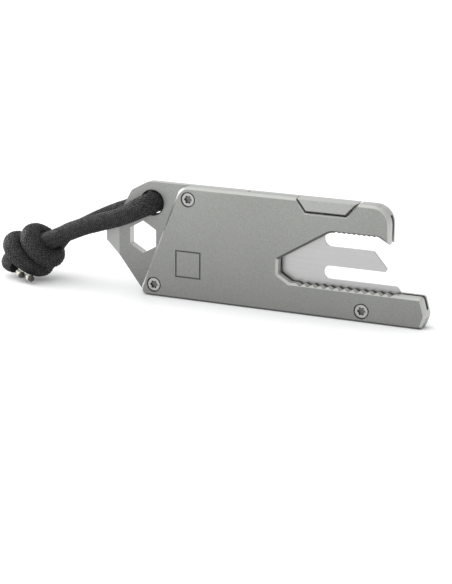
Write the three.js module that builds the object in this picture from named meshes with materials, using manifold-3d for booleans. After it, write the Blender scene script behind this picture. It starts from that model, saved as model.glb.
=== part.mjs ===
// Keychain bottle opener: a flat titanium pocket tool with a forked opener mouth, a sliding blade carrier,
// a release latch in its top edge and a knotted cord lanyard. Millimetres, +Z up, front face towards -Y.
import * as THREE from 'three';
import * as BufferGeometryUtils from 'three/addons/utils/BufferGeometryUtils.js';
import Module from 'manifold-3d';

const wasm = await Module();
wasm.setup();

// ---------------------------------------------------------------- driving dimensions
const toolHeight = 25.4;
const toolThickness = 4.0;
const coverThickness = 1.9;
const seam = 0.05; // between the cover and the frame
const hexX = -28.6; // the bit hole's centre in the finished frame; all X below are measured from it
const edgeChamfer = 0.5; // round the front face
const backChamfer = 0.3;
const fitGap = 0.3;
const beyond = 1; // how far a cut runs past the face it opens

const frameFront = coverThickness + seam;
const bladeChannel = { floorY: 3.0, bottomZ: 3.9, topZ: 23.3, heelX: 5.4, heelTopX: 15.6 };

const bitHole = { acrossFlats: 6.45, z: toolHeight / 2 };
const cordHole = { x: 2.3, z: 20.7, radius: 2.65, ease: 0.3, sides: 40 };
const pryTip = { x: -9.45, halfWidth: 1.7, creaseX: -5.9, creaseHalfWidth: 4.65, edgeThickness: 0.7 };

// opener mouth, as it stands behind the front chamfer
const mouth = {
  backX: 33.2, lowerZ: 6.75, upperZ: 18.7, slantStartZ: 11.6, slantEndX: 45.0, toeX: 35.85, toeZ: 8.38,
};
const lowerJaw = { endX: 66.7, noseZ: 2.9, topX: 65.6, bottomX: 65.7 };
const upperJaw = { endX: 58.2, cornerRadius: 4, hookX: 55.9, tipZ: 17.4 };

const toothValley = { fill: 0.92, floorHalfWidth: 0.12, cutAbove: 0.3 }; // fill is a share of the pitch
const lowerTeeth = { count: 12, firstX: 38.3, pitch: 1.85, depth: 0.42, z: mouth.lowerZ, up: 1 };
const upperTeeth = { count: 9, firstX: 46.4, pitch: 1.12, depth: 0.28, z: mouth.upperZ, up: -1 };

const screwPlaces = [[11.9, 22.65], [3.6, 2.65], [52.5, 2.45]];
const screw = {
  headRadius: 1.42, headFrontY: 0.12, boreRadius: 1.72, boreDepth: 0.95, endGap: 0.1,
  shankRadius: 0.75, shankBackY: 3.3, holeRadius: 1.05,
  starRadius: 0.85, starWave: 0.16, starPoints: 6, starBackY: 0.62,
};
const dowelPlaces = [[54.4, 24.3], [30.0, 1.9]];
const dowel = { radius: 0.45, holeRadius: 0.6, frontY: 1.0, backY: 3.2, endGap: 0.1 };
const emblem = { x: 8.9, z: 5.0, side: 6.15, groove: 0.34, depth: 0.2 };

const travel = 12;
const carrier = {
  frontY: 2.45, backY: 2.9, bottomZ: 4.2, topZ: 23.0, heelX: 6.1, heelTopX: 16.0,
  reliefX: 27.2, reliefRampX: 26.6, reliefZ: 21.8, reliefEndX: 49.1, topProngX: 51.4,
  shoulderX: 54.1, tipX: 57.2, tipZ: 11.6, tipFootX: 56.85, lowProngX: 59.45, bottomEndX: 62.6,
  slotX: 43.0, ribFrontY: 2.05, ribWidth: 1.6,
};
const upperSlot = { lowZ: 15.2, highZ: 18.9, radius: 1.6 };
const lowerSlot = { lowZ: 8.1, highZ: 10.95, radius: 1.3 };
const stopPin = { x: 30.4, z: 12.7, radius: 0.7, holeRadius: 0.95, frontY: 2.5, endGap: 0.05 };
const stopSlot = { halfHeight: 1.0, cornerRadius: 0.95 };
const dragSpring = {
  x: [18.5, 33.0], z: 7.6, halfWidth: 1.1, thickness: 0.12,
  pocketY: 3.45, pocketGap: 0.35, backGap: 0.08, bow: 0.2,
};

// the release latch: a tab in the cover's top edge on an arm that springs from its rivet
const tab = {
  bottomZ: 22.4, bottomX: [39.2, 48.5], topX: [37.0, 51.2],
  footBackY: 1.25, footTopZ: 23.45, backY: 2.35, chamfer: 0.25, rim: 0.3,
};
const arm = { startX: 25.6, endGap: 0.4, frontY: 2.05, bottomZ: 23.6 };
const rivet = { x: 27.3, z: 24.55, radius: 0.45, holeRadius: 0.6, frontY: 1.0, endGap: 0.05 };
const latchPin = { x: 41.2, y: 2.3, radius: 0.3, holeRadius: 0.42, bottomZ: 22.2, topZ: 24.6, endGap: 0.1 };
const pinNotch = { halfWidth: 0.9, frontY: 2.5, backY: 3.6, bottomZ: 21.9, overlap: 0.1 };

const cordRadius = 2.0;
// the turn at the hole's rim begins this far past the hole's middle
const cordBend = { radius: 2.4, startX: -0.3 };
const knot = { x: -28.4, y: 2.2, z: 6.42, radius: 6.2, halfLength: 6.3, grooveDepth: 0.8, grooveWidth: 0.14 };
const knotTilt = 29; // degrees above level, towards the tool
const cordStub = { rootRadius: 1.35, tipRadius: 1.1, length: 1.6, reach: 6.7, z: 1.45 };
const stubBearings = [-91, -65]; // degrees from +X

// ---------------------------------------------------------------- materials
function finish(color, roughness, metalness) {
  return new THREE.MeshStandardMaterial({ color, roughness, metalness });
}
const blastedTitanium = () => finish(0x8d8f8b, 0.55, 0.9);
const frameTitanium = () => finish(0x7f817e, 0.5, 0.9);
const brushedSteel = () => finish(0xc0c0c2, 0.3, 1.0);
const screwSteel = () => finish(0xa9aaa8, 0.35, 1.0);
const blackCord = () => finish(0x1e1f21, 0.85, 0.0);
const meltedCord = () => finish(0xb9b7a6, 0.7, 0.0);

// ---------------------------------------------------------------- solids
function toSolid(geometry) {
  const clean = geometry.clone();
  clean.deleteAttribute('normal');
  clean.deleteAttribute('uv');
  const merged = BufferGeometryUtils.mergeVertices(clean, 1e-5);
  const mesh = new wasm.Mesh({
    numProp: 3,
    vertProperties: new Float32Array(merged.attributes.position.array),
    triVerts: new Uint32Array(merged.index.array),
  });
  return new wasm.Manifold(mesh);
}

function toGeometry(solid) {
  const mesh = solid.getMesh();
  const geometry = new THREE.BufferGeometry();
  geometry.setAttribute('position', new THREE.BufferAttribute(new Float32Array(mesh.vertProperties), 3));
  geometry.setIndex(new THREE.BufferAttribute(new Uint32Array(mesh.triVerts), 1));
  geometry.computeVertexNormals();
  return geometry;
}

// An outline in X and Z from corners [x, z, radius], each rounded by an arc of its radius.
function outline(corners) {
  const points = [];
  const count = corners.length;
  corners.forEach(([x, z, radius = 0], i) => {
    const here = new THREE.Vector2(x, z);
    if (radius === 0) {
      points.push(here);
      return;
    }
    const before = new THREE.Vector2(...corners[(i + count - 1) % count].slice(0, 2)).sub(here).normalize();
    const after = new THREE.Vector2(...corners[(i + 1) % count].slice(0, 2)).sub(here).normalize();
    const half = Math.acos(before.dot(after)) / 2;
    const middle = before.clone().add(after).normalize();
    const centre = middle.multiplyScalar(radius / Math.sin(half)).add(here);
    const start = before.clone().multiplyScalar(radius / Math.tan(half)).add(here).sub(centre);
    const turn = Math.sign(before.cross(after)) * -(Math.PI - 2 * half);
    const steps = Math.max(2, Math.ceil((Math.abs(turn) * 180) / Math.PI / 12));
    for (let k = 0; k <= steps; k += 1) {
      points.push(start.clone().rotateAround(new THREE.Vector2(), (turn * k) / steps).add(centre));
    }
  });
  return new THREE.Shape(points);
}

// A straight prism of an outline from frontY to backY.
function prism(shape, frontY, backY) {
  const geometry = new THREE.ExtrudeGeometry(shape, { depth: backY - frontY, bevelEnabled: false });
  geometry.rotateX(Math.PI / 2);
  geometry.translate(0, backY, 0);
  return toSolid(geometry);
}

// A prism whose front or back edge, or both, is chamfered all round.
function chamferedPrism(shape, frontY, backY, front, back) {
  const far = 3; // how far each cut runs past the plate
  const cut = (size, from, to) => {
    const geometry = new THREE.ExtrudeGeometry(shape, {
      depth: to - from - 2 * size,
      bevelEnabled: true,
      bevelThickness: size,
      bevelSize: size,
      bevelOffset: -size,
      bevelSegments: 1,
    });
    geometry.rotateX(Math.PI / 2);
    geometry.translate(0, to - size, 0);
    return toSolid(geometry);
  };
  let solid = front > 0 ? cut(front, frontY, backY + far) : prism(shape, frontY, backY + far);
  solid = solid.intersect(back > 0 ? cut(back, frontY - far, backY) : prism(shape, frontY - far, backY));
  return solid;
}

// A round bar along Y.
const pinSides = 16;
const stopPinSides = 20;
function bar(x, z, radius, frontY, backY, sides = 28) {
  const geometry = new THREE.CylinderGeometry(radius, radius, backY - frontY, sides);
  geometry.translate(x, (frontY + backY) / 2, z);
  return toSolid(geometry);
}

// A cone along Y, its wide end at wideY.
function countersink(x, z, wide, narrow, wideY, narrowY, sides) {
  const towardsBack = narrowY > wideY;
  const radii = towardsBack ? [narrow, wide] : [wide, narrow];
  const geometry = new THREE.CylinderGeometry(...radii, Math.abs(narrowY - wideY), sides);
  geometry.translate(x, (wideY + narrowY) / 2, z);
  return toSolid(geometry);
}

function box(x0, x1, y0, y1, z0, z1) {
  const geometry = new THREE.BoxGeometry(x1 - x0, y1 - y0, z1 - z0);
  geometry.translate((x0 + x1) / 2, (y0 + y1) / 2, (z0 + z1) / 2);
  return toSolid(geometry);
}

// ---------------------------------------------------------------- outlines
const jawCorners = [
  [lowerJaw.bottomX, 0, 0.8],
  [lowerJaw.endX, lowerJaw.noseZ, 1.4],
  [lowerJaw.topX, mouth.lowerZ, 0.8],
  [mouth.toeX, mouth.lowerZ],
  [mouth.backX, mouth.toeZ, 0.3],
  [mouth.backX, mouth.slantStartZ, 0.3],
  [mouth.slantEndX, mouth.upperZ, 2.5],
  [upperJaw.hookX, mouth.upperZ, 1],
  [upperJaw.endX, upperJaw.tipZ],
  [upperJaw.endX, toolHeight, upperJaw.cornerRadius],
];

const coverOutline = outline([[-0.3, 0, 1.5], ...jawCorners, [9.9, toolHeight, 3]]);

const tailCorners = [
  [1.4, toolHeight, 3],
  [-2.7, 23.2, 1.2],
  [pryTip.creaseX, bitHole.z + pryTip.creaseHalfWidth, 1.5],
  [pryTip.x, bitHole.z + pryTip.halfWidth, 0.5],
  [pryTip.x, bitHole.z - pryTip.halfWidth, 0.5],
  [pryTip.creaseX, bitHole.z - pryTip.creaseHalfWidth, 1.5],
];
const frameOutline = outline([[0.4, 0, 1], ...jawCorners, ...tailCorners]);

const hexagon = new THREE.Shape(
  [0, 1, 2, 3, 4, 5].map((k) => {
    const angle = ((k + 0.5) * Math.PI) / 3;
    const radius = bitHole.acrossFlats / Math.sqrt(3);
    return new THREE.Vector2(radius * Math.cos(angle), bitHole.z + radius * Math.sin(angle));
  }),
);

// ---------------------------------------------------------------- cuts shared by the cover and the frame
function teeth({ count, firstX, pitch, depth, z, up }, frontY, backY) {
  const { fill, floorHalfWidth, cutAbove } = toothValley;
  const half = (pitch * fill) / 2;
  let cuts = null;
  for (let k = 0; k < count; k += 1) {
    const x = firstX + k * pitch;
    const flare = (half * (depth + cutAbove)) / depth;
    const notch = prism(
      new THREE.Shape([
        new THREE.Vector2(x - flare, z + up * cutAbove),
        new THREE.Vector2(x - floorHalfWidth, z - up * depth),
        new THREE.Vector2(x + floorHalfWidth, z - up * depth),
        new THREE.Vector2(x + flare, z + up * cutAbove),
      ]),
      frontY,
      backY,
    );
    cuts = cuts ? cuts.add(notch) : notch;
  }
  return cuts;
}

// X of the tab cut-out's left (0) or right (1) side at a height.
function tabEdgeX(side, z) {
  const slope = (tab.topX[side] - tab.bottomX[side]) / (toolHeight - tab.bottomZ);
  return tab.bottomX[side] + slope * (z - tab.bottomZ);
}

// The tab's trapezoid, drawn in by inset: as a cut that runs out of the top, and as the tab's own body.
function tabShape(inset) {
  const lean = (side) => Math.hypot(1, (tab.topX[side] - tab.bottomX[side]) / (toolHeight - tab.bottomZ));
  const lowZ = tab.bottomZ + inset;
  const upTo = (highZ) => new THREE.Shape([
    new THREE.Vector2(tabEdgeX(0, lowZ) + inset * lean(0), lowZ),
    new THREE.Vector2(tabEdgeX(1, lowZ) - inset * lean(1), lowZ),
    new THREE.Vector2(tabEdgeX(1, highZ) - inset * lean(1), highZ),
    new THREE.Vector2(tabEdgeX(0, highZ) + inset * lean(0), highZ),
  ]);
  return { cut: upTo(toolHeight + beyond), body: upTo(toolHeight) };
}

// ---------------------------------------------------------------- sub-parts
function frontCover() {
  let solid = chamferedPrism(coverOutline, 0, coverThickness, edgeChamfer, 0);
  const behind = coverThickness + beyond;
  solid = solid.subtract(teeth(lowerTeeth, -beyond, behind));
  solid = solid.subtract(teeth(upperTeeth, -beyond, behind));
  // the tab's cut-out and its fine chamfer
  solid = solid.subtract(prism(tabShape(0).cut, -beyond, behind));
  const flared = new THREE.ExtrudeGeometry(tabShape(0).cut, {
    depth: beyond,
    bevelEnabled: true,
    bevelThickness: tab.rim,
    bevelSize: tab.rim,
    bevelOffset: 0,
    bevelSegments: 1,
  });
  flared.rotateX(Math.PI / 2);
  solid = solid.subtract(toSolid(flared));
  for (const [x, z] of screwPlaces) {
    solid = solid.subtract(bar(x, z, screw.boreRadius, -beyond, screw.boreDepth));
    solid = solid.subtract(bar(x, z, screw.holeRadius, -beyond, behind));
  }
  for (const [x, z] of dowelPlaces) {
    solid = solid.subtract(bar(x, z, dowel.holeRadius, dowel.frontY - dowel.endGap, behind, pinSides));
  }
  const rivetFront = rivet.frontY - dowel.endGap;
  solid = solid.subtract(bar(rivet.x, rivet.z, rivet.holeRadius, rivetFront, behind, pinSides));
  const { x, z, side, groove, depth } = emblem;
  const far = side - groove;
  const square = box(x, x + side, -beyond, depth, z, z + side);
  const island = box(x + groove, x + far, -2 * beyond, depth + beyond, z + groove, z + far);
  return solid.subtract(square.subtract(island));
}

function backFrame() {
  let solid = chamferedPrism(frameOutline, frameFront, toolThickness, 0, backChamfer);
  const { floorY, bottomZ, topZ, heelX, heelTopX } = bladeChannel;
  const farX = lowerJaw.endX + beyond;
  const behind = toolThickness + beyond;
  const channel = outline([[heelX, bottomZ, 0.5], [farX, bottomZ], [farX, topZ], [heelTopX, topZ, 0.5]]);
  solid = solid.subtract(prism(channel, frameFront - beyond, floorY));
  solid = solid.subtract(prism(hexagon, 0, behind));
  const { x: holeX, z: holeZ, radius: holeRadius, ease, sides } = cordHole;
  solid = solid.subtract(bar(holeX, holeZ, holeRadius, 0, behind, sides));
  const wide = holeRadius + ease + beyond;
  for (const [wideY, narrowY] of [[frameFront - beyond, frameFront + ease], [behind, toolThickness - ease]]) {
    solid = solid.subtract(countersink(holeX, holeZ, wide, holeRadius - 0.001, wideY, narrowY, sides));
  }
  solid = solid.subtract(teeth(lowerTeeth, 0, behind));
  solid = solid.subtract(teeth(upperTeeth, 0, behind));
  // the pry tip's two bevels, from the crease to a thin edge
  const middle = (frameFront + toolThickness) / 2;
  for (const side of [-1, 1]) {
    const face = side < 0 ? frameFront : toolThickness;
    const edge = middle + (side * pryTip.edgeThickness) / 2;
    const slope = (face - edge) / (pryTip.creaseX - pryTip.x);
    const wedge = new THREE.Shape([
      new THREE.Vector2(pryTip.creaseX, face),
      new THREE.Vector2(pryTip.x - beyond, edge - slope * beyond),
      new THREE.Vector2(pryTip.x - beyond, face + side * toolThickness),
      new THREE.Vector2(pryTip.creaseX, face + side * toolThickness),
    ]);
    const cut = new THREE.ExtrudeGeometry(wedge, { depth: toolHeight, bevelEnabled: false });
    solid = solid.subtract(toSolid(cut));
  }
  for (const [x, z] of screwPlaces) {
    solid = solid.subtract(bar(x, z, screw.holeRadius, 0, screw.shankBackY + screw.endGap));
  }
  for (const [x, z] of dowelPlaces) {
    solid = solid.subtract(bar(x, z, dowel.holeRadius, 0, dowel.backY + dowel.endGap, pinSides));
  }
  // the latch arm's bay in the top rail, and the notch that its pin sinks into
  const above = toolHeight + beyond;
  const bayX = arm.startX - fitGap;
  const bayLowEnd = [tabEdgeX(1, topZ), topZ];
  const bayHighEnd = [tabEdgeX(1, above), above];
  solid = solid.subtract(prism(outline([[bayX, topZ], bayLowEnd, bayHighEnd, [bayX, above]]), 0, behind));
  const notch = pinNotch;
  const notchX = [latchPin.x - notch.halfWidth, latchPin.x + notch.halfWidth];
  solid = solid.subtract(box(...notchX, notch.frontY, notch.backY, notch.bottomZ, topZ + notch.overlap));
  solid = solid.subtract(bar(stopPin.x, stopPin.z, stopPin.holeRadius, frameFront, behind, stopPinSides));
  const { x: springX, z: springZ, halfWidth, pocketY, pocketGap: gap } = dragSpring;
  const pocketHalf = halfWidth + gap;
  return solid.subtract(
    box(springX[0] - gap, springX[1] + gap, frameFront, pocketY, springZ - pocketHalf, springZ + pocketHalf),
  );
}

function bladeCarrier() {
  const c = carrier;
  const corners = [
    [c.heelX, c.bottomZ, 0.4],
    [c.bottomEndX, c.bottomZ, 0.3],
    [c.lowProngX, lowerSlot.lowZ, 0.8],
    [c.slotX, lowerSlot.lowZ, lowerSlot.radius],
    [c.slotX, lowerSlot.highZ, lowerSlot.radius],
    [c.tipFootX, lowerSlot.highZ, 0.2],
    [c.tipX, c.tipZ, 0.3],
    [c.shoulderX, upperSlot.lowZ, 0.8],
    [c.slotX, upperSlot.lowZ, upperSlot.radius],
    [c.slotX, upperSlot.highZ, upperSlot.radius],
    [c.topProngX, upperSlot.highZ],
    [c.reliefEndX, c.reliefZ, 0.3],
    [c.reliefX, c.reliefZ],
    [c.reliefRampX, c.topZ],
    [c.heelTopX, c.topZ, 0.4],
  ];
  let solid = prism(outline(corners), c.frontY, c.backY);
  const rib = outline([
    [c.heelX, c.bottomZ, 0.4],
    [c.heelX + c.ribWidth, c.bottomZ],
    [c.heelTopX + c.ribWidth, c.topZ],
    [c.heelTopX, c.topZ, 0.4],
  ]);
  solid = solid.add(prism(rib, c.ribFrontY, c.backY));
  const { x, z, radius } = stopPin;
  const { halfHeight, cornerRadius } = stopSlot;
  const slotX = [x - travel - radius - fitGap, x + radius + fitGap];
  const slot = outline([
    [slotX[0], z - halfHeight, cornerRadius],
    [slotX[1], z - halfHeight, cornerRadius],
    [slotX[1], z + halfHeight, cornerRadius],
    [slotX[0], z + halfHeight, cornerRadius],
  ]);
  return solid.subtract(prism(slot, c.ribFrontY, c.backY + beyond));
}

function releaseLatch() {
  const { body } = tabShape(fitGap);
  let solid = chamferedPrism(body, 0, tab.backY, tab.chamfer, 0);
  // the tab's foot stays in front of the blade
  const [footX0, footX1] = tab.topX;
  solid = solid.subtract(box(footX0, footX1, tab.footBackY, toolThickness, tab.bottomZ, tab.footTopZ));
  const { startX, bottomZ } = arm;
  const lowEnd = [tabEdgeX(1, bottomZ) - arm.endGap, bottomZ];
  const highEnd = [tabEdgeX(1, toolHeight) - arm.endGap, toolHeight];
  const shape = outline([[startX, bottomZ], lowEnd, highEnd, [startX, toolHeight]]);
  solid = solid.add(chamferedPrism(shape, arm.frontY, toolThickness, 0, backChamfer));
  solid = solid.subtract(bar(rivet.x, rivet.z, rivet.holeRadius, 0, toolThickness + beyond, pinSides));
  const { x, y, holeRadius, topZ, endGap } = latchPin;
  const depth = topZ + endGap - tab.bottomZ;
  const hole = new THREE.CylinderGeometry(holeRadius, holeRadius, depth, pinSides);
  hole.rotateX(Math.PI / 2);
  hole.translate(x, y, tab.bottomZ + depth / 2);
  return solid.subtract(toSolid(hole));
}

function latchPinSolid() {
  const { x, y, radius, bottomZ, topZ } = latchPin;
  const geometry = new THREE.CylinderGeometry(radius, radius, topZ - bottomZ, pinSides);
  geometry.rotateX(Math.PI / 2);
  geometry.translate(x, y, (bottomZ + topZ) / 2);
  return toSolid(geometry);
}

function coverScrew(x, z) {
  const headBack = screw.boreDepth - screw.endGap;
  let solid = bar(x, z, screw.headRadius, screw.headFrontY, headBack, 36);
  solid = solid.add(bar(x, z, screw.shankRadius, headBack - screw.endGap, screw.shankBackY, pinSides));
  const star = [];
  const corners = 4 * screw.starPoints;
  for (let k = 0; k < corners; k += 1) {
    const angle = (2 * Math.PI * k) / corners;
    const radius = screw.starRadius * (1 + screw.starWave * Math.cos(screw.starPoints * angle));
    star.push(new THREE.Vector2(x + radius * Math.cos(angle), z + radius * Math.sin(angle)));
  }
  return solid.subtract(prism(new THREE.Shape(star), -beyond, screw.starBackY));
}

function travelStopPin() {
  const { x, z, radius, frontY, endGap } = stopPin;
  return bar(x, z, radius, frontY, toolThickness - endGap, stopPinSides);
}

function armRivet() {
  return bar(rivet.x, rivet.z, rivet.radius, rivet.frontY, toolThickness - rivet.endGap, pinSides);
}

function dragSpringSolid() {
  const { x, z, halfWidth, thickness, pocketY, backGap, bow } = dragSpring;
  const steps = 16;
  const rear = [];
  for (let k = 0; k <= steps; k += 1) {
    const t = k / steps;
    const lift = bow * Math.sin(Math.PI * t) ** 2;
    rear.push(new THREE.Vector2(x[0] + (x[1] - x[0]) * t, pocketY - backGap - lift));
  }
  const front = rear.map((point) => new THREE.Vector2(point.x, point.y - thickness)).reverse();
  const profile = new THREE.Shape([...rear, ...front]);
  const geometry = new THREE.ExtrudeGeometry(profile, { depth: 2 * halfWidth, bevelEnabled: false });
  geometry.translate(0, 0, z - halfWidth);
  return toSolid(geometry);
}

// ---------------------------------------------------------------- lanyard
function cordLeg(slopeDegrees, startY, side, route) {
  const heading = THREE.MathUtils.degToRad(slopeDegrees);
  const { x: holeX, z: holeZ } = cordHole;
  const { radius: bendRadius, startX } = cordBend;
  const bendY = side < 0 ? frameFront + 0.15 : toolThickness - 0.1;
  const along = (s, y) => new THREE.Vector3(holeX - s * Math.cos(heading), y, holeZ - s * Math.sin(heading));
  const points = [along(startX, startY)];
  for (const degrees of [0, 30, 60, 90]) {
    const turn = THREE.MathUtils.degToRad(degrees);
    const y = bendY + side * bendRadius * Math.sin(turn);
    points.push(along(startX + bendRadius * (1 - Math.cos(turn)), y));
  }
  for (const [x, y, z] of route) {
    points.push(new THREE.Vector3(x, y, z));
  }
  const sides = 10;
  const section = [];
  for (let k = 0; k < sides; k += 1) {
    const angle = (2 * Math.PI * (k + 0.5)) / sides;
    section.push(new THREE.Vector2(cordRadius * Math.cos(angle), cordRadius * Math.sin(angle)));
  }
  return new THREE.ExtrudeGeometry(new THREE.Shape(section), {
    steps: 22,
    extrudePath: new THREE.CatmullRomCurve3(points, false, 'centripetal'),
    bevelEnabled: false,
  });
}

const frontRoute = [
  [-4.5, -0.35, 17.15], [-9.5, -0.3, 15.5], [-13.4, -0.2, 14.2], [-18.0, 0.0, 12.2], [-22.75, 0.3, 9.9],
];
const backRoute = [
  [-3.6, 6.35, 18.7], [-8.0, 6.3, 17.1], [-12.8, 5.9, 14.9], [-17.0, 5.2, 12.65], [-22.75, 4.4, 9.65],
];

function cordKnot() {
  const steps = 22;
  const profile = [];
  for (let k = 0; k <= steps; k += 1) {
    const t = -1 + (2 * k) / steps;
    const round = Math.sqrt(Math.max(0, 1 - t * t));
    const groove = knot.grooveDepth * Math.exp(-((t / knot.grooveWidth) ** 2));
    profile.push(new THREE.Vector2(Math.max(0, knot.radius * round - groove), t * knot.halfLength));
  }
  const geometry = new THREE.LatheGeometry(profile, 28);
  geometry.rotateZ(THREE.MathUtils.degToRad(knotTilt - 90));
  geometry.rotateX(Math.PI / 2);
  geometry.translate(knot.x, knot.y, knot.z);
  return toGeometry(toSolid(geometry));
}

// A melted end: a short stub that lies on the surface beside the knot, pointing away from it.
function cordEnd(bearing) {
  const { rootRadius, tipRadius, length, reach, z } = cordStub;
  const heading = new THREE.Vector3(Math.cos(bearing), Math.sin(bearing), 0);
  const geometry = new THREE.CylinderGeometry(tipRadius, rootRadius, length, 14);
  geometry.applyQuaternion(new THREE.Quaternion().setFromUnitVectors(new THREE.Vector3(0, 1, 0), heading));
  geometry.translate(knot.x + heading.x * reach, knot.y + heading.y * reach, z);
  return geometry;
}

// ---------------------------------------------------------------- assembly
const tool = new THREE.Group();
tool.position.set(hexX, -toolThickness / 2, 0);

function place(name, geometry, material) {
  const mesh = new THREE.Mesh(geometry, material);
  mesh.name = name;
  tool.add(mesh);
}

place('front_cover', toGeometry(frontCover()), blastedTitanium());
place('back_frame', toGeometry(backFrame()), frameTitanium());
place('blade_carrier', toGeometry(bladeCarrier()), brushedSteel());
place('release_latch', toGeometry(releaseLatch()), blastedTitanium());
place('latch_pin', toGeometry(latchPinSolid()), screwSteel());
place('arm_rivet', toGeometry(armRivet()), screwSteel());
place('travel_stop_pin', toGeometry(travelStopPin()), screwSteel());
place('drag_spring', toGeometry(dragSpringSolid()), brushedSteel());
screwPlaces.forEach(([x, z], i) => {
  place(`cover_screw_${i + 1}`, toGeometry(coverScrew(x, z)), screwSteel());
});
dowelPlaces.forEach(([x, z], i) => {
  const pin = bar(x, z, dowel.radius, dowel.frontY, dowel.backY, pinSides);
  place(`locating_dowel_${i + 1}`, toGeometry(pin), screwSteel());
});
place('cord_leg_front', cordLeg(26, 2.8, -1, frontRoute), blackCord());
place('cord_leg_back', cordLeg(17, 3.1, 1, backRoute), blackCord());
place('cord_knot', cordKnot(), blackCord());
stubBearings.forEach((bearing, i) => {
  place(`cord_end_${i + 1}`, cordEnd(THREE.MathUtils.degToRad(bearing)), meltedCord());
});

export default tool;
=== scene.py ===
import math

import bpy
import numpy as np
from mathutils import Matrix, Vector


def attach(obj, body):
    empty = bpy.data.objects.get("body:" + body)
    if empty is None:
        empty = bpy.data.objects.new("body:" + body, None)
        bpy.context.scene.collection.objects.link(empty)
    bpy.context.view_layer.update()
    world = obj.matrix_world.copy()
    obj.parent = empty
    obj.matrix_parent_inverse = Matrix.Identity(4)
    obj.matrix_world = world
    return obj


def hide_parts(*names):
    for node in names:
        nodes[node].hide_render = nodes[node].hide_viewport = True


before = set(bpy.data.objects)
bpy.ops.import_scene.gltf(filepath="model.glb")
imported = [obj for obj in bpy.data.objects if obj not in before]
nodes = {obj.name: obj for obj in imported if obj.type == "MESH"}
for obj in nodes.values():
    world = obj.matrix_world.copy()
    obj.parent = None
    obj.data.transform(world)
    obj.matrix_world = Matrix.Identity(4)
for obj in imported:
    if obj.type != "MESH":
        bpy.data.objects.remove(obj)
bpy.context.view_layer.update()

scene = bpy.context.scene


def mm(*values):
    scaled = [value / 1000 for value in values]
    return scaled[0] if len(scaled) == 1 else tuple(scaled)


cameraSettings = {
    "azimuth": 24.1,  # degrees from the front, towards the open mouth
    "elevation": 15.2,
    "roll": 0.5,
    "distance": 0.3964,
    "target": mm(-8.3, 0.0, 2.4),
    "lens": 111.4,
    "sensorWidth": 36,
    "clipStart": 0.01,
}

studioSettings = {
    "floorSize": 3.0,
    "floorColor": (0.93, 0.93, 0.94),
    "floorRoughness": 0.6,
    "worldColor": (0.95, 0.955, 0.95),
    "worldStrength": 0.8,
    "aim": (0.0, 0.0, 0.01),  # every light points here
    "lights": {
        "keyLight": {"power": 8.0, "size": 1.6, "place": (-0.3, -0.35, 0.8)},
        "backLight": {"power": 1.2, "size": 0.9, "place": (-0.4, 0.85, 0.4)},
        "sideLight": {"power": 4.2, "size": 0.6, "place": (-0.75, 0.13, 0.2)},
    },
}


def aimAt(thing, place, target):
    thing.location = place
    thing.rotation_euler = (Vector(target) - Vector(place)).to_track_quat("-Z", "Y").to_euler()


def makeCamera(s):
    azimuth, elevation = math.radians(s["azimuth"]), math.radians(s["elevation"])
    back = Vector((
        math.sin(azimuth) * math.cos(elevation),
        -math.cos(azimuth) * math.cos(elevation),
        math.sin(elevation),
    ))
    camera = bpy.data.objects.new("camera", bpy.data.cameras.new("camera"))
    scene.collection.objects.link(camera)
    target = Vector(s["target"])
    aimAt(camera, target + back * s["distance"], target)
    turned = camera.rotation_euler.to_matrix() @ Matrix.Rotation(math.radians(s["roll"]), 3, "Z")
    camera.rotation_euler = turned.to_euler()
    camera.data.sensor_width = s["sensorWidth"]
    camera.data.lens = s["lens"]
    camera.data.clip_start = s["clipStart"]
    scene.camera = camera


def areaLight(name, s, target):
    light = bpy.data.lights.new(name, "AREA")
    light.shape = "DISK"
    light.size = s["size"]
    light.energy = s["power"]
    thing = bpy.data.objects.new(name, light)
    scene.collection.objects.link(thing)
    aimAt(thing, s["place"], target)


def makeStudio(s):
    half = s["floorSize"] / 2
    corners = [(-half, -half, 0), (half, -half, 0), (half, half, 0), (-half, half, 0)]
    mesh = bpy.data.meshes.new("floor")
    mesh.from_pydata(corners, [], [(0, 1, 2, 3)])
    floor = bpy.data.objects.new("floor", mesh)
    scene.collection.objects.link(floor)
    material = bpy.data.materials.new("paleFloor")
    material.use_nodes = True
    shader = material.node_tree.nodes["Principled BSDF"]
    shader.inputs["Base Color"].default_value = (*s["floorColor"], 1)
    shader.inputs["Roughness"].default_value = s["floorRoughness"]
    mesh.materials.append(material)

    world = bpy.data.worlds.new("softStudio")
    world.use_nodes = True
    background = world.node_tree.nodes["Background"]
    background.inputs["Color"].default_value = (*s["worldColor"], 1)
    background.inputs["Strength"].default_value = s["worldStrength"]
    scene.world = world

    for name, light in s["lights"].items():
        areaLight(name, light, s["aim"])
    scene.view_settings.view_transform = "Standard"


makeCamera(cameraSettings)
makeStudio(studioSettings)
print("stage: camera and light")


# The lanyard is one length of braided cord, made as two strands from the middle of the cord hole.
cordSettings = {
    "radius": mm(2.0),
    "holeCentre": mm(-26.3, 0.95, 20.7),
    "lineStart": -0.3,  # mm along a leg: its line begins just inside the hole's middle
    "holeBend": 2.4,  # mm, radius of the line where it turns out of the hole
    "swellAtHole": mm(0.4),  # the braid opens up where it is bent through the hole
    "swellFades": mm(3, 13),  # along the strand
    "knotBegins": mm(27, 33),  # along the strand, where it is drawn tight round itself
    "pinchLength": mm(6),
    "pointsPerSpan": 20,
    "easingPasses": 12,  # take the last kinks out of the line
    "ringSides": 144,
    "ringStep": mm(0.115),
    "carriers": 22,  # yarns each way round the braid
    "braidPitch": mm(0.64),
    "braidHeight": mm(0.2),
    "stitchFullness": 0.45,  # lower is fuller at a stitch's ends
}

strandSettings = {
    "frontStrand": {"swell": mm(0.25), "pinch": mm(0.85)},  # flattened in the knot, narrowed at the end
    "backStrand": {"swell": mm(0.45), "pinch": mm(0.3)},
}

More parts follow.
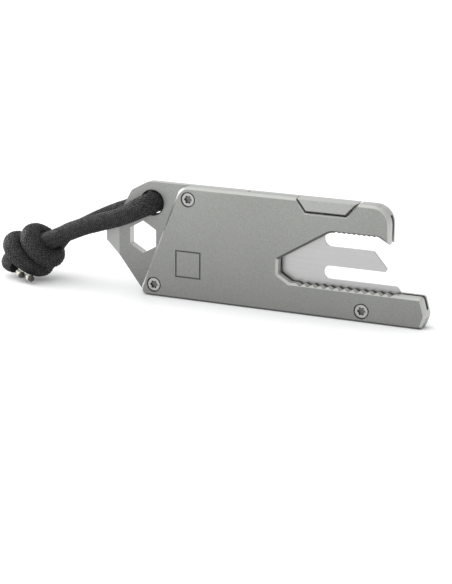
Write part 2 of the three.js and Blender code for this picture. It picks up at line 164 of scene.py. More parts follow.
knotSettings = {
    "centre": mm(-57.0, 0.2, 6.42),
    "tilt": 29.0,  # degrees, the knot's axis above level
    "wrapPoints": 11,
    # in mm: place along the axis, lean towards the tool, line's radius, and how far it sags
    "nearWrap": {"along": 3.05, "lean": 1.0, "radius": 3.35, "drop": -0.05},
    "farWrap": {"along": -1.35, "lean": 1.85, "radius": 4.05, "drop": 0.2},
}


def alongLeg(slope, distance, y):
    # a point of a leg's start, at a distance from the hole along the leg's own fall
    x0, _, z0 = cordSettings["holeCentre"]
    heading = math.radians(slope)
    return (x0 - mm(distance) * math.cos(heading), mm(y), z0 - mm(distance) * math.sin(heading))


def bendOut(slope, side, startY, bendY):
    # from the hole's middle round a quarter turn, to run along the tail
    start, bend = cordSettings["lineStart"], cordSettings["holeBend"]
    points = [alongLeg(slope, start, startY)]
    for degrees in (0, 30, 60, 90):
        turn = math.radians(degrees)
        y = bendY + side * bend * math.sin(turn)
        points.append(alongLeg(slope, start + bend * (1 - math.cos(turn)), y))
    return points


knotTilt = math.radians(knotSettings["tilt"])
knotAxis = Vector((math.cos(knotTilt), 0, math.sin(knotTilt)))
knotFront = Vector((0, -1, 0))
knotUp = Vector((-knotAxis.z, 0, knotAxis.x))


def inKnot(along, radius, degrees):
    # along the knot's axis towards the tool, out from it, and round it from the front over the top
    turn = math.radians(degrees)
    out = knotFront * math.cos(turn) + knotUp * math.sin(turn)
    return tuple(Vector(knotSettings["centre"]) + knotAxis * mm(along) + out * mm(radius))


def wrapRound(wrap, degreesFrom, degreesTo):
    # one wrap, leaning towards the tool at the bottom
    points = []
    count = knotSettings["wrapPoints"]
    for k in range(count + 1):
        degrees = degreesFrom + (degreesTo - degreesFrom) * k / count
        height = math.sin(math.radians(degrees))
        along, radius = wrap["along"] - wrap["lean"] * height, wrap["radius"] - wrap["drop"] * height
        points.append(inKnot(along, radius, degrees))
    return points


routes = {
    # the leg in front of the tail, the knot's core, the far wrap, then out at the knot's far end
    "frontStrand": (
        bendOut(26, -1, 0.8, 0.1)
        + [mm(-33.1, -2.35, 17.25), mm(-38.1, -2.3, 15.5), mm(-42.0, -2.2, 14.2)]
        + [mm(-46.6, -2.0, 12.2), mm(-50.2, -1.6, 10.5)]
        + [inKnot(4.2, 1.0, 20), inKnot(1.8, 0.5, 60), inKnot(0.1, 1.2, 205)]
        + [inKnot(-0.6, 2.7, 203), inKnot(-1.2, 3.75, 188), inKnot(-1.8, 4.0, 168)]
        + wrapRound(knotSettings["farWrap"], 145, -110)
        + [inKnot(-0.3, 3.9, -138), inKnot(-1.5, 3.1, -160), inKnot(-3.2, 2.0, -178), inKnot(-4.8, 1.5, 172)]
        + [mm(-62.35, 0.85, 3.95), mm(-62.85, -0.2, 3.55), mm(-62.5, -1.3, 3.2)]
        + [mm(-61.5, -2.2, 2.95), mm(-60.2, -2.7, 2.8)]
    ),
    # the leg behind the tail, the near wrap, then into the core
    "backStrand": (
        bendOut(17, 1, 1.1, 1.9)
        + [mm(-32.2, 4.35, 18.7), mm(-36.6, 4.3, 17.1), mm(-41.4, 3.9, 14.9)]
        + [mm(-45.6, 3.2, 12.65), mm(-49.6, 2.9, 10.9)]
        + [inKnot(4.6, 2.67, 193), inKnot(3.6, 3.07, 186), inKnot(2.9, 3.32, 173), inKnot(2.6, 3.45, 156)]
        + wrapRound(knotSettings["nearWrap"], 138, -110)
        + [inKnot(3.6, 3.15, -140), inKnot(2.6, 2.75, -165), inKnot(1.0, 1.9, 178)]
        + [inKnot(-0.6, 1.2, -170), inKnot(-2.0, 1.0, -120)]
    ),
}


def smoothLine(points, s):
    # a curve through the points, cut into even steps
    pts = np.array(points, float)
    padded = np.vstack([2 * pts[0] - pts[1], pts, 2 * pts[-1] - pts[-2]])
    line = []
    for i in range(1, len(padded) - 2):
        p0, p1, p2, p3 = padded[i - 1 : i + 3]
        t0 = 0.0
        t1 = t0 + np.linalg.norm(p1 - p0) ** 0.5
        t2 = t1 + np.linalg.norm(p2 - p1) ** 0.5
        t3 = t2 + np.linalg.norm(p3 - p2) ** 0.5
        for t in np.linspace(t1, t2, s["pointsPerSpan"], endpoint=False):
            a1 = (t1 - t) / (t1 - t0) * p0 + (t - t0) / (t1 - t0) * p1
            a2 = (t2 - t) / (t2 - t1) * p1 + (t - t1) / (t2 - t1) * p2
            a3 = (t3 - t) / (t3 - t2) * p2 + (t - t2) / (t3 - t2) * p3
            b1 = (t2 - t) / (t2 - t0) * a1 + (t - t0) / (t2 - t0) * a2
            b2 = (t3 - t) / (t3 - t1) * a2 + (t - t1) / (t3 - t1) * a3
            line.append((t2 - t) / (t2 - t1) * b1 + (t - t1) / (t2 - t1) * b2)
    line.append(pts[-1])
    line = np.array(line)
    for _ in range(s["easingPasses"]):
        line[1:-1] = 0.25 * line[:-2] + 0.5 * line[1:-1] + 0.25 * line[2:]
    lengths = np.concatenate([[0], np.cumsum(np.linalg.norm(np.diff(line, axis=0), axis=1))])
    places = np.linspace(0, lengths[-1], int(round(lengths[-1] / s["ringStep"])) + 1)
    return np.stack([np.interp(places, lengths, line[:, k]) for k in range(3)], axis=1), places


def easeStep(low, high, values):
    share = np.clip((values - low) / (high - low), 0, 1)
    return share * share * (3 - 2 * share)


def braidBump(around, along, fullness):
    # yarns of two sets, each passing over two and under two of the other, as on herringbone cord
    first, second = around + along, around - along
    firstYarn, secondYarn = np.floor(first), np.floor(second)
    firstOver = np.mod(firstYarn + secondYarn, 4) < 2
    across = np.where(firstOver, first - firstYarn, second - secondYarn) - 0.5
    firstLengthwise, secondLengthwise = np.mod(firstYarn + second, 4), np.mod(first + secondYarn, 4) - 2
    lengthwise = np.where(firstOver, firstLengthwise, secondLengthwise) / 2
    crown = np.sqrt(np.clip(1 - (2 * across) ** 2, 0, 1))
    return crown * np.clip(np.sin(math.pi * lengthwise), 0, 1) ** fullness


def newPiece(name, verts, faces):
    mesh = bpy.data.meshes.new(name)
    mesh.from_pydata(verts, [], faces)
    mesh.polygons.foreach_set("use_smooth", [True] * len(mesh.polygons))
    piece = bpy.data.objects.new(name, mesh)
    scene.collection.objects.link(piece)
    return piece, mesh


def braidedCord(name, route, swell, pinch, s):
    centres, places = smoothLine(route, s)
    length, count, sides = places[-1], len(places), s["ringSides"]
    thickness = s["radius"] + s["swellAtHole"] * (1 - easeStep(*s["swellFades"], places))
    thickness += swell * easeStep(*s["knotBegins"], places)
    thickness -= pinch * easeStep(length - s["pinchLength"], length, places)
    tangents = np.gradient(centres, axis=0)
    tangents /= np.linalg.norm(tangents, axis=1)[:, None]
    side = np.cross(tangents[0], (0, 0, 1.0))
    angles = np.linspace(0, 2 * math.pi, sides, endpoint=False)
    around = angles / (2 * math.pi) * s["carriers"]
    rings = []
    for i in range(count):  # the side direction is carried along, so the braid never twists
        side = side - tangents[i] * side.dot(tangents[i])
        side /= np.linalg.norm(side)
        other = np.cross(tangents[i], side)
        bump = braidBump(around, places[i] / s["braidPitch"], s["stitchFullness"])
        radius = thickness[i] - s["braidHeight"] * (1 - bump)
        outward = np.cos(angles)[:, None] * side + np.sin(angles)[:, None] * other
        rings.append(centres[i] + radius[:, None] * outward)
    faces = []
    uvs = []
    turns = s["carriers"] / sides
    for i in range(count - 1):
        low, high = places[i] / s["braidPitch"], places[i + 1] / s["braidPitch"]
        for k in range(sides):
            n = (k + 1) % sides
            faces.append((i * sides + k, i * sides + n, (i + 1) * sides + n, (i + 1) * sides + k))
            uvs.extend((k * turns, low, (k + 1) * turns, low, (k + 1) * turns, high, k * turns, high))
    for ring, order in ((0, -1), (count - 1, 1)):
        faces.append(tuple(ring * sides + k for k in range(sides))[::order])
        uvs.extend([0.0, 0.0] * sides)
    cord, mesh = newPiece(name, np.concatenate(rings).tolist(), faces)
    mesh.uv_layers.new(name="braid").data.foreach_set("uv", uvs)
    return cord, centres, length


tipSettings = {
    "radius": 0.74,  # mm
    "length": 2.5,
    "sides": 32,
    "bulge": 0.09,  # how uneven the rim is
    "oval": 0.08,
    "ripple": 0.05,
    # each row's place along the tip and its radius, as shares of the length and radius
    "profile": [
        (-0.5, 0.8), (-0.35, 0.86), (-0.2, 0.82), (-0.05, 0.9), (0.12, 1.05),
        (0.26, 1.0), (0.38, 0.82), (0.46, 0.5), (0.48, 0.2),
    ],
    "meltedTipLeft": {"centre": mm(-57.6, -4.6, 1.95), "heading": (0.86, -0.45, -0.25), "seed": 3},
    "meltedTipRight": {"centre": mm(-54.7, -5.4, 1.5), "heading": (0.94, -0.3, -0.08), "seed": 8},
}


def meltedTip(name, s):
    # the fused end of a strand: a shrunken core with a rolled, uneven rim
    own, profile, sides = s[name], s["profile"], s["sides"]
    outward = np.array(own["heading"]) / np.linalg.norm(own["heading"])
    across = np.cross(outward, (0, 0, 1.0))
    across /= np.linalg.norm(across)
    upward = np.cross(across, outward)
    lumps = np.random.default_rng(own["seed"]).uniform(-1, 1, 6)
    verts, faces = [], []
    for row, (along, radius) in enumerate(profile):
        point = np.array(own["centre"]) + outward * mm(along * s["length"])
        for k in range(sides):
            turn = 2 * math.pi * k / sides
            uneven = 1 + s["bulge"] * lumps[0] * math.cos(turn + 3 * lumps[1])
            uneven += s["oval"] * lumps[2] * math.cos(2 * turn + 3 * lumps[3])
            uneven += s["ripple"] * lumps[4] * math.cos(4 * turn + row * lumps[5])
            out = mm(radius * s["radius"]) * uneven
            verts.append(tuple(point + across * out * math.cos(turn) + upward * out * math.sin(turn)))
    for row in range(len(profile) - 1):
        a, b = row * sides, (row + 1) * sides
        for k in range(sides):
            n = (k + 1) % sides
            faces.append((a + k, a + n, b + n, b + k))
    faces.append(tuple(reversed(range(sides))))
    faces.append(tuple(range((len(profile) - 1) * sides, len(profile) * sides)))
    tip, mesh = newPiece(name, verts, faces)
    layer = mesh.uv_layers.new(name="alongTip")
    for loop in mesh.loops:
        row, k = divmod(loop.vertex_index, sides)
        layer.data[loop.index].uv = (k / sides, profile[row][0] + 0.5)
    return tip


tips = [meltedTip(name, tipSettings) for name in ("meltedTipLeft", "meltedTipRight")]
cords = []
for name, replaced, tip in (
    ("frontStrand", ["cord_leg_front", "cord_knot"], tips[0]),
    ("backStrand", ["cord_leg_back"], tips[1]),
):
    own = strandSettings[name]
    strand, path, length = braidedCord(name, routes[name], own["swell"], own["pinch"], cordSettings)
    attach(strand, "tool")
    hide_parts(*replaced)
    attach(tip, "tool")
    cords.append(strand)
    print("strand", name, round(length * 1000, 1), "mm")
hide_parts("cord_end_1")
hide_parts("cord_end_2")
print("stage: lanyard")


def setInput(tree, socket, value):
    # a socket is linked, a colour gets its alpha, and anything else is set as it is
    if isinstance(value, bpy.types.NodeSocket):
        tree.links.new(value, socket)
    elif socket.type == "RGBA":
        socket.default_value = (*value, 1)
    else:
        socket.default_value = value


def addNode(tree, kind, **inputs):
    # inputs are given by name, or by number as i0, i1
    node = tree.nodes.new(kind)
    for key, value in inputs.items():
        numbered = key[0] == "i" and key[1:].isdigit()
        setInput(tree, node.inputs[int(key[1:]) if numbered else key], value)
    return node


def mathNode(tree, operation, first, second=None, clamp=False):
    node = tree.nodes.new("ShaderNodeMath")
    node.operation = operation
    node.use_clamp = clamp
    setInput(tree, node.inputs[0], first)
    if second is not None:
        setInput(tree, node.inputs[1], second)
    return node.outputs[0]


def gate(tree, high, low, sharpness):
    # rises from 0 to 1 as the first value passes the second
    return mathNode(tree, "MULTIPLY", mathNode(tree, "SUBTRACT", high, low), sharpness, clamp=True)


def blendOf(tree, first, firstShare, second, secondShare):
    firstPart = mathNode(tree, "MULTIPLY", first, firstShare)
    return mathNode(tree, "ADD", firstPart, mathNode(tree, "MULTIPLY", second, secondShare))


def rampNode(tree, source, stops):
    node = tree.nodes.new("ShaderNodeValToRGB")
    tree.links.new(source, node.inputs[0])
    elements = node.color_ramp.elements
    while len(elements) < len(stops):
        elements.new(0.5)
    for element, (place, value) in zip(elements, stops):
        element.position = place
        color = value if isinstance(value, tuple) else (value, value, value)
        element.color = (*color, 1)
    return node.outputs[0]


noiseRange = (0.3, 0.7)  # where most of a noise's values lie


def spreadOver(tree, noise, low, high):
    return rampNode(tree, noise, [(noiseRange[0], low), (noiseRange[1], high)])


def mixColor(tree, factor, first, second, blend="MIX"):
    node = tree.nodes.new("ShaderNodeMix")
    node.data_type = "RGBA"
    node.blend_type = blend
    for index, value in ((0, factor), (6, first), (7, second)):
        setInput(tree, node.inputs[index], value)
    return node.outputs[2]


def newGroup(name, inputs, outputs):
    group = bpy.data.node_groups.new(name, "ShaderNodeTree")
    for label, kind, value in inputs:
        socket = group.interface.new_socket(label, in_out="INPUT", socket_type=kind)
        if value is not None:
            socket.default_value = value
    for label, kind in outputs:
        group.interface.new_socket(label, in_out="OUTPUT", socket_type=kind)
    source = group.nodes.new("NodeGroupInput")
    target = group.nodes.new("NodeGroupOutput")
    return group, source.outputs, target.inputs


# Shader groups that several finishes share.
grainSettings = {
    "grainScale": 5200.0,
    "driftScale": 90.0,
    "fineShare": 0.6,  # of the height
    "pitShare": 0.5,
    "heightShare": 0.75,  # of the tone
    "driftShare": 0.25,
}


def buildBlastGrain(s):
    # the fine sand-like pitting of a blasted face, with a slow drift of tone
    group, source, target = newGroup(
        "blastGrain",
        [
            ("Place", "NodeSocketVector", None),
            ("Grain Scale", "NodeSocketFloat", s["grainScale"]),
            ("Drift Scale", "NodeSocketFloat", s["driftScale"]),
        ],
        [("Height", "NodeSocketFloat"), ("Tone", "NodeSocketFloat")],
    )
    place, grainScale, driftScale = source["Place"], source["Grain Scale"], source["Drift Scale"]
    fine = addNode(group, "ShaderNodeTexNoise", Vector=place, Scale=grainScale, Detail=3.0)
    pits = addNode(group, "ShaderNodeTexVoronoi", Vector=place, Scale=grainScale)
    drift = addNode(group, "ShaderNodeTexNoise", Vector=place, Scale=driftScale, Detail=4.0)
    height = blendOf(group, fine.outputs[0], s["fineShare"], pits.outputs["Distance"], s["pitShare"])
    tone = blendOf(group, height, s["heightShare"], drift.outputs[0], s["driftShare"])
    group.links.new(height, target["Height"])
    group.links.new(tone, target["Tone"])
    return group


cutFaceSettings = {
    "flatLean": 0.993,  # the flat front and back have a normal whose Y is past this
    "flatSharpness": 150.0,
    "downLean": -0.2,
    "downSharpness": 4.0,
    "endLean": 0.3,
    "endSharpness": 5.0,
    "breakUp": 0.12,
    "breakUpScale": 1400.0,
}


def buildCutFaces(s):
    # masks for cut faces, which are all but the flat front and back:
    # every one, those that face down, and those that face an end
    group, source, target = newGroup(
        "cutFaces",
        [
            ("Normal", "NodeSocketVector", None),
            ("Place", "NodeSocketVector", None),
            ("Break Up", "NodeSocketFloat", s["breakUp"]),
        ],
        [("Mask", "NodeSocketFloat"), ("Underside", "NodeSocketFloat"), ("Ends", "NodeSocketFloat")],
    )
    split = addNode(group, "ShaderNodeSeparateXYZ", i0=source["Normal"])
    lean = mathNode(group, "ABSOLUTE", split.outputs["Y"])
    rough = addNode(group, "ShaderNodeTexNoise", Vector=source["Place"], Scale=s["breakUpScale"], Detail=3.0)
    jitter = mathNode(group, "MULTIPLY", mathNode(group, "SUBTRACT", rough.outputs[0], 0.5), source["Break Up"])
    mask = gate(group, s["flatLean"], lean, s["flatSharpness"])
    down = gate(group, s["downLean"], split.outputs["Z"], s["downSharpness"])
    sideways = mathNode(group, "ADD", mathNode(group, "ABSOLUTE", split.outputs["X"]), jitter)
    ends = mathNode(group, "MULTIPLY", mask, gate(group, sideways, s["endLean"], s["endSharpness"]))
    upward = mathNode(group, "SUBTRACT", 1.0, down)
    group.links.new(mask, target["Mask"])
    # the down-facing mask carries the painted shade in the titanium finishes
    group.links.new(mathNode(group, "MULTIPLY", mask, down), target["Underside"])
    group.links.new(mathNode(group, "MULTIPLY", ends, upward), target["Ends"])
    return group


handlingSettings = {
    "turns": (0.35, -1.1),  # radians, the scratches' directions
    "scale": (420, 2600, 11000),
    "lineLevel": 0.66,
    "lineSharpness": 9.0,
    "patchScale": 160.0,
    "patchLevel": 0.42,
    "patchSharpness": 4.0,
}


def buildHandling(s):
    # fine stray scratches in two directions, thinned out by a patchy mask
    group, source, target = newGroup(
        "handlingMarks",
        [("Place", "NodeSocketVector", None), ("Amount", "NodeSocketFloat", 0.5)],
        [("Mask", "NodeSocketFloat")],
    )
    lines = []
    for turn in s["turns"]:
        rotation = (0, turn, 0)
        turned = addNode(group, "ShaderNodeMapping", i0=source["Place"], Rotation=rotation, Scale=s["scale"])
        noise = addNode(group, "ShaderNodeTexNoise", Vector=turned.outputs[0], Scale=1.0, Detail=2.0)
        lines.append(gate(group, noise.outputs[0], s["lineLevel"], s["lineSharpness"]))
    patch = addNode(group, "ShaderNodeTexNoise", Vector=source["Place"], Scale=s["patchScale"], Detail=2.0)
    patchy = gate(group, patch.outputs[0], s["patchLevel"], s["patchSharpness"])
    thinned = mathNode(group, "MULTIPLY", mathNode(group, "MAXIMUM", *lines), patchy)
    group.links.new(mathNode(group, "MULTIPLY", thinned, source["Amount"]), target["Mask"])
    return group


brushingSettings = {
    "fineScale": (90, 4000, 9000),  # stretched along X
    "broadScale": (40, 900, 1500),
    "fineRoughness": 0.7,
    "fineShare": 0.8,
    "broadShare": 0.2,
}


def buildBrushing(s):
    # long fine lines along X from a brushing belt
    group, source, target = newGroup(
        "brushedLines",
        [("Place", "NodeSocketVector", None), ("Line Scale", "NodeSocketFloat", 1.0)],
        [("Height", "NodeSocketFloat"), ("Tone", "NodeSocketFloat")],
    )
    place, scale = source["Place"], source["Line Scale"]
    fineMap = addNode(group, "ShaderNodeMapping", i0=place, Scale=s["fineScale"])
    fine = addNode(group, "ShaderNodeTexNoise", Vector=fineMap.outputs[0], Scale=scale, Detail=4.0)
    fine.inputs["Roughness"].default_value = s["fineRoughness"]
    broadMap = addNode(group, "ShaderNodeMapping", i0=place, Scale=s["broadScale"])
    broad = addNode(group, "ShaderNodeTexNoise", Vector=broadMap.outputs[0], Scale=scale, Detail=2.0)
    group.links.new(fine.outputs[0], target["Height"])
    tone = blendOf(group, fine.outputs[0], s["fineShare"], broad.outputs[0], s["broadShare"])
    group.links.new(tone, target["Tone"])
    return group


markSettings = {
    "frontY": mm(-2.0),  # the cover's front face
    "depths": mm(0.04, 0.3),  # behind that face, on either side of the engraving's floor
    "low": mm(-22.0, 3.0),  # X and Z of a corner of the area round the engraved square
    "high": mm(-10.5, 13.0),
    # painted shade on the engraved floor: how much, and its colour
    "grooveShadeAmount": 0.62,
    "color": (0.03, 0.03, 0.028),
}


def buildEngraving(s):
    # one on the floor of the engraved square: just behind the front face, and inside its own area
    group, source, target = newGroup(
        "engravedFloor", [("Place", "NodeSocketVector", None)], [("Mask", "NodeSocketFloat")]
    )
    split = addNode(group, "ShaderNodeSeparateXYZ", i0=source["Place"])
    depth = mathNode(group, "SUBTRACT", split.outputs["Y"], s["frontY"])
    mask = None
    for value, low, high in (
        (depth, *s["depths"]),
        (split.outputs["X"], s["low"][0], s["high"][0]),
        (split.outputs["Z"], s["low"][1], s["high"][1]),
    ):
        for operation, limit in (("GREATER_THAN", low), ("LESS_THAN", high)):
            inside = mathNode(group, operation, value, limit)
            mask = inside if mask is None else mathNode(group, "MULTIPLY", mask, inside)
    group.links.new(mask, target["Mask"])
    return group


groups = {
    "grain": buildBlastGrain(grainSettings),
    "cutFaces": buildCutFaces(cutFaceSettings),
    "marks": buildHandling(handlingSettings),
    "brushing": buildBrushing(brushingSettings),
    "engraving": buildEngraving(markSettings),
}
print("stage: shader groups")


def useGroup(tree, which, **inputs):
    node = tree.nodes.new("ShaderNodeGroup")
    node.node_tree = groups[which]
    for key, value in inputs.items():
        setInput(tree, node.inputs[key.replace("_", " ")], value)
    return node.outputs


def newMaterial(name, metallic):
    material = bpy.data.materials.new(name)
    material.use_nodes = True
    tree = material.node_tree
    shader = tree.nodes["Principled BSDF"].inputs
    shader["Metallic"].default_value = metallic
    place = tree.nodes.new("ShaderNodeTexCoord").outputs
    return material, tree, shader, place


def splitLayer(tree, name):
    # X and Y of a piece's own surface layer
    layer = tree.nodes.new("ShaderNodeUVMap")
    layer.uv_map = name
    split = addNode(tree, "ShaderNodeSeparateXYZ", i0=layer.outputs[0])
    return split.outputs["X"], split.outputs["Y"]


def bumpFrom(tree, shader, height, s):
    bump = addNode(tree, "ShaderNodeBump", Strength=s["bumpStrength"], Distance=s["bumpDepth"], Height=height)
    tree.links.new(bump.outputs[0], shader["Normal"])


titaniumFinishes = {
    "coverTitanium": {
        "dark": (0.245, 0.25, 0.236), "light": (0.35, 0.355, 0.336), "cut": (0.36, 0.365, 0.347),
        "roughness": (0.42, 0.58), "cutRoughness": 0.45, "scratches": 0.3, "bottomShadeTone": 0.76,
    },
    "frameTitanium": {
        "dark": (0.244, 0.248, 0.237), "light": (0.352, 0.357, 0.34), "cut": (0.36, 0.364, 0.348),
        "roughness": (0.36, 0.5), "cutRoughness": 0.42, "scratches": 0.4, "bottomShadeTone": 0.62,
    },
    "latchTitanium": {
        "dark": (0.32, 0.326, 0.31), "light": (0.43, 0.436, 0.416), "cut": (0.36, 0.365, 0.347),
        "roughness": (0.4, 0.54), "cutRoughness": 0.42, "scratches": 0.35, "bottomShadeTone": 0.76,
    },
}

titaniumSettings = {
    "metallic": 0.85,
    "grainScale": 4200.0,
    "driftScale": 60.0,
    "scratchGain": 1.4,  # how much lighter a scratch is than the blasted face
    "lowZ": mm(1.5),  # painted shade: the colour darkens towards the edge the tool stands on
    "highZ": mm(24.0),
    # painted shade on the down-facing cut faces: its colour and how much of it
    "undersideShadeTone": (0.1, 0.1, 0.095),
    "undersideShadeAmount": 0.75,
    "endsTone": (0.66, 0.665, 0.64),
    "endsAmount": 0.5,
    "cutFlatness": 0.8,  # how much less pitted the cut faces are
    "bumpStrength": 0.45,
    "bumpDepth": mm(0.03),
}


def titanium(name, own, s):
    material, tree, shader, place = newMaterial(name, s["metallic"])
    point = place["Object"]
    grain = useGroup(tree, "grain", Place=point, Grain_Scale=s["grainScale"], Drift_Scale=s["driftScale"])
    marks = useGroup(tree, "marks", Place=point, Amount=own["scratches"])
    cut = useGroup(tree, "cutFaces", Place=point, Normal=place["Normal"])
    blasted = spreadOver(tree, grain["Tone"], own["dark"], own["light"])
    scratch = tuple(min(1, c * s["scratchGain"]) for c in own["light"])
    worn = mixColor(tree, marks["Mask"], blasted, scratch)
    split = addNode(tree, "ShaderNodeSeparateXYZ", i0=point)
    # painted shade: darker towards the bottom, full tone towards the top, as the light falls
    height = mathNode(tree, "SUBTRACT", split.outputs["Z"], s["lowZ"])
    height = mathNode(tree, "DIVIDE", height, s["highZ"] - s["lowZ"], clamp=True)
    bottomShade = rampNode(tree, height, [(0.0, own["bottomShadeTone"]), (1.0, 1.0)])
    color = mixColor(tree, cut["Mask"], mixColor(tree, 1.0, worn, bottomShade, "MULTIPLY"), own["cut"])
    # cut faces that face an end are made lighter; down-facing cut faces get painted shade
    for mask, amount, tone in (
        (cut["Ends"], s["endsAmount"], s["endsTone"]),
        (cut["Underside"], s["undersideShadeAmount"], s["undersideShadeTone"]),
    ):
        color = mixColor(tree, mathNode(tree, "MULTIPLY", mask, amount), color, tone)
    if name == "coverTitanium":
        # painted shade: the engraved square's recessed floor is darkened
        engraving = useGroup(tree, "engraving", Place=point)
        grooveShade = mathNode(tree, "MULTIPLY", engraving["Mask"], markSettings["grooveShadeAmount"])
        color = mixColor(tree, grooveShade, color, markSettings["color"])
    tree.links.new(color, shader["Base Color"])
    low, high = own["roughness"]
    face = mathNode(tree, "ADD", mathNode(tree, "MULTIPLY", grain["Tone"], high - low), low)
    smooth = mathNode(tree, "MULTIPLY", mathNode(tree, "SUBTRACT", own["cutRoughness"], face), cut["Mask"])
    tree.links.new(mathNode(tree, "ADD", face, smooth), shader["Roughness"])
    flat = mathNode(tree, "SUBTRACT", 1.0, mathNode(tree, "MULTIPLY", cut["Mask"], s["cutFlatness"]))
    bumpFrom(tree, shader, mathNode(tree, "MULTIPLY", grain["Height"], flat), s)
    return material


carrierSettings = {
    "dark": (0.4, 0.4, 0.398),
    "light": (0.51, 0.51, 0.508),
    "roughness": (0.26, 0.42),
    "bumpStrength": 0.25,
    "bumpDepth": mm(0.01),
}


def brushedSteel(name, s):
    material, tree, shader, place = newMaterial(name, 1.0)
    lines = useGroup(tree, "brushing", Place=place["Object"])
    tree.links.new(spreadOver(tree, lines["Tone"], s["dark"], s["light"]), shader["Base Color"])
    tree.links.new(spreadOver(tree, lines["Tone"], *s["roughness"]), shader["Roughness"])
    bumpFrom(tree, shader, lines["Height"], s)
    return material


screwSettings = {
    "dark": (0.3, 0.3, 0.295),
    "light": (0.46, 0.46, 0.45),
    "scratch": (0.7, 0.7, 0.69),
    "scratches": 0.6,
    "grainScale": 9000.0,
    "driftScale": 700.0,
    # painted shade in the recess: its colour, its patchiness and how deep it reaches
    "recessShade": (0.06, 0.06, 0.057),
    "recessShadeBase": 0.4,
    "headY": mm(-1.8),  # just under the heads' faces
    "recessShadeDepth": mm(0.5),
    "roughness": (0.22, 0.38),
    "bumpStrength": 0.2,
    "bumpDepth": mm(0.01),
}


def turnedSteel(name, s):
    # lathe-turned screws and pins: finer grain than the blasted parts, stray marks, and painted shade down in
    # the recess
    material, tree, shader, place = newMaterial(name, 1.0)
    point = place["Object"]
    grain = useGroup(tree, "grain", Place=point, Grain_Scale=s["grainScale"], Drift_Scale=s["driftScale"])
    marks = useGroup(tree, "marks", Place=point, Amount=s["scratches"])
    base = spreadOver(tree, grain["Tone"], s["dark"], s["light"])
    marked = mixColor(tree, marks["Mask"], base, s["scratch"])
    split = addNode(tree, "ShaderNodeSeparateXYZ", i0=point)
    # painted shade: patchy darkening deeper than the heads' faces, down in the recess
    depth = mathNode(tree, "SUBTRACT", split.outputs["Y"], s["headY"])
    below = mathNode(tree, "DIVIDE", depth, s["recessShadeDepth"], clamp=True)
    patchy = mathNode(tree, "ADD", grain["Tone"], s["recessShadeBase"])
    uneven = mathNode(tree, "MULTIPLY", below, patchy, clamp=True)
    tree.links.new(mixColor(tree, uneven, marked, s["recessShade"]), shader["Base Color"])
    tree.links.new(spreadOver(tree, grain["Tone"], *s["roughness"]), shader["Roughness"])
    bumpFrom(tree, shader, grain["Height"], s)
    return material


nylonSettings = {
    "threads": 5,  # in each yarn
    "threadHeight": 0.15,
    "fibreScale": 7000.0,
    "patchScale": 420.0,
    "fibreShare": 0.3,
    "patchShare": 0.35,
    "baseTone": 0.2,
    "stitchSpread": 0.7,  # how far one stitch's tone may differ from the next
    "stitchBase": 0.6,
    "colors": [(0.15, (0.0004, 0.0004, 0.0005)), (0.8, (0.026, 0.0265, 0.027))],
    "roughness": [(0.1, 0.9), (0.7, 0.27)],
    "specular": 0.44,
    "bumpStrength": 0.6,
    "bumpDepth": mm(0.06),
}


def braidedNylon(name, s):
    # fine threads in each yarn of the braid, with painted shade between the yarns
    material, tree, shader, place = newMaterial(name, 0.0)
    around, along = splitLayer(tree, "braid")
    first = mathNode(tree, "ADD", around, along)
    second = mathNode(tree, "SUBTRACT", around, along)
    firstYarn, secondYarn = mathNode(tree, "FLOOR", first), mathNode(tree, "FLOOR", second)
    turn = mathNode(tree, "FLOORED_MODULO", mathNode(tree, "ADD", firstYarn, secondYarn), 4.0)
    firstOver = mathNode(tree, "LESS_THAN", turn, 2.0)
    secondOver = mathNode(tree, "SUBTRACT", 1.0, firstOver)
    firstAcross, secondAcross = mathNode(tree, "FRACT", first), mathNode(tree, "FRACT", second)
    across = blendOf(tree, firstAcross, firstOver, secondAcross, secondOver)
    crown = mathNode(tree, "SINE", mathNode(tree, "MULTIPLY", across, math.pi))
    threads = mathNode(tree, "SINE", mathNode(tree, "MULTIPLY", across, 2 * math.pi * s["threads"]))
    fibres = addNode(tree, "ShaderNodeTexNoise", Vector=place["Object"], Scale=s["fibreScale"], Detail=3.0)
    patch = addNode(tree, "ShaderNodeTexNoise", Vector=place["Object"], Scale=s["patchScale"], Detail=2.0)
    height = mathNode(tree, "ADD", mathNode(tree, "MULTIPLY", threads, s["threadHeight"]), fibres.outputs[0])
    lift = blendOf(tree, height, s["fibreShare"], patch.outputs[0], s["patchShare"])
    stitch = addNode(tree, "ShaderNodeCombineXYZ", X=firstYarn, Y=secondYarn)
    each = addNode(tree, "ShaderNodeTexWhiteNoise", Vector=stitch.outputs[0])
    spread = mathNode(tree, "MULTIPLY", each.outputs["Value"], s["stitchSpread"])
    uneven = mathNode(tree, "ADD", spread, s["stitchBase"])
    # painted shade: the crown's curve takes the tone to nothing between the yarns
    tone = mathNode(tree, "MULTIPLY", mathNode(tree, "ADD", lift, s["baseTone"]), crown)
    tone = mathNode(tree, "MULTIPLY", tone, uneven)
    tree.links.new(rampNode(tree, tone, s["colors"]), shader["Base Color"])
    tree.links.new(rampNode(tree, tone, s["roughness"]), shader["Roughness"])
    shader["Specular IOR Level"].default_value = s["specular"]
    bumpFrom(tree, shader, height, s)
    return material


fusedSettings = {
    "scorchScale": 900.0,
    "skinScale": 3500.0,
    "alongShare": 0.7,
    "scorchShare": 0.5,
    "colors": [
        (0.3, (0.02, 0.018, 0.016)), (0.36, (0.5, 0.48, 0.4)),
        (0.62, (0.6, 0.58, 0.48)), (0.72, (0.03, 0.027, 0.022)),
    ],
    "roughness": (0.35, 0.6),
    "bumpStrength": 0.4,
    "bumpDepth": mm(0.05),
}


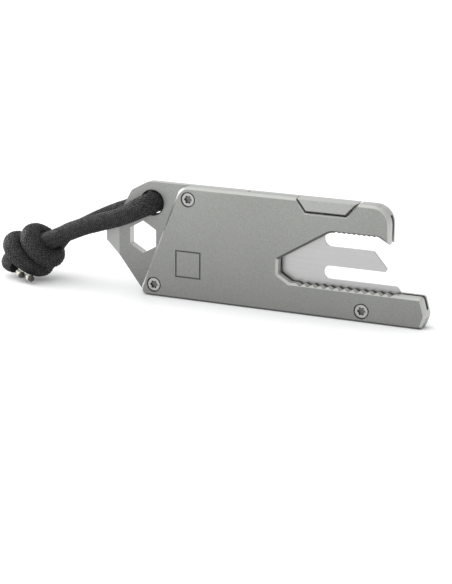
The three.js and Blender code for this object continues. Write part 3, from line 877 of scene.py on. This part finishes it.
def fusedNylon(name, s):
    # pale melted core, scorched dark towards its tip
    material, tree, shader, place = newMaterial(name, 0.0)
    _, along = splitLayer(tree, "alongTip")
    scorch = addNode(tree, "ShaderNodeTexNoise", Vector=place["Object"], Scale=s["scorchScale"], Detail=4.0)
    skin = addNode(tree, "ShaderNodeTexNoise", Vector=place["Object"], Scale=s["skinScale"], Detail=2.0)
    burnt = blendOf(tree, along, s["alongShare"], scorch.outputs[0], s["scorchShare"])
    tree.links.new(rampNode(tree, burnt, s["colors"]), shader["Base Color"])
    tree.links.new(spreadOver(tree, skin.outputs[0], *s["roughness"]), shader["Roughness"])
    bumpFrom(tree, shader, skin.outputs[0], s)
    return material


finishes = {name: titanium(name, own, titaniumSettings) for name, own in titaniumFinishes.items()}
finishes["carrierSteel"] = brushedSteel("carrierSteel", carrierSettings)
finishes["screwSteel"] = turnedSteel("screwSteel", screwSettings)
finishes["cordNylon"] = braidedNylon("cordNylon", nylonSettings)
finishes["fusedNylon"] = fusedNylon("fusedNylon", fusedSettings)

nodeFinish = {  # every other metal piece is a screw or a pin
    "front_cover": "coverTitanium",
    "release_latch": "latchTitanium",
    "back_frame": "frameTitanium",
    "blade_carrier": "carrierSteel",
    "drag_spring": "carrierSteel",
}

edgeSettings = {
    "width": mm(0.05),
    "segments": 2,
    "sharperThan": 32,  # degrees
}


def dress(thing, material):
    if not thing.data.materials:
        thing.data.materials.append(material)
    for slot in thing.material_slots:
        slot.link = "OBJECT"
        slot.material = material


def easeEdges(thing, s):
    # a hair-fine rounding, so that every edge catches light
    thing.data.polygons.foreach_set("use_smooth", [True] * len(thing.data.polygons))
    bevel = thing.modifiers.new("easedEdges", "BEVEL")
    bevel.width = s["width"]
    bevel.segments = s["segments"]
    bevel.limit_method = "ANGLE"
    bevel.angle_limit = math.radians(s["sharperThan"])
    bevel.harden_normals = True


for name, thing in nodes.items():
    if name.startswith("cord_"):
        continue
    dress(thing, finishes[nodeFinish.get(name, "screwSteel")])
    easeEdges(thing, edgeSettings)
for strand in cords:
    dress(strand, finishes["cordNylon"])
for tip in tips:
    dress(tip, finishes["fusedNylon"])
print("stage: finishes")
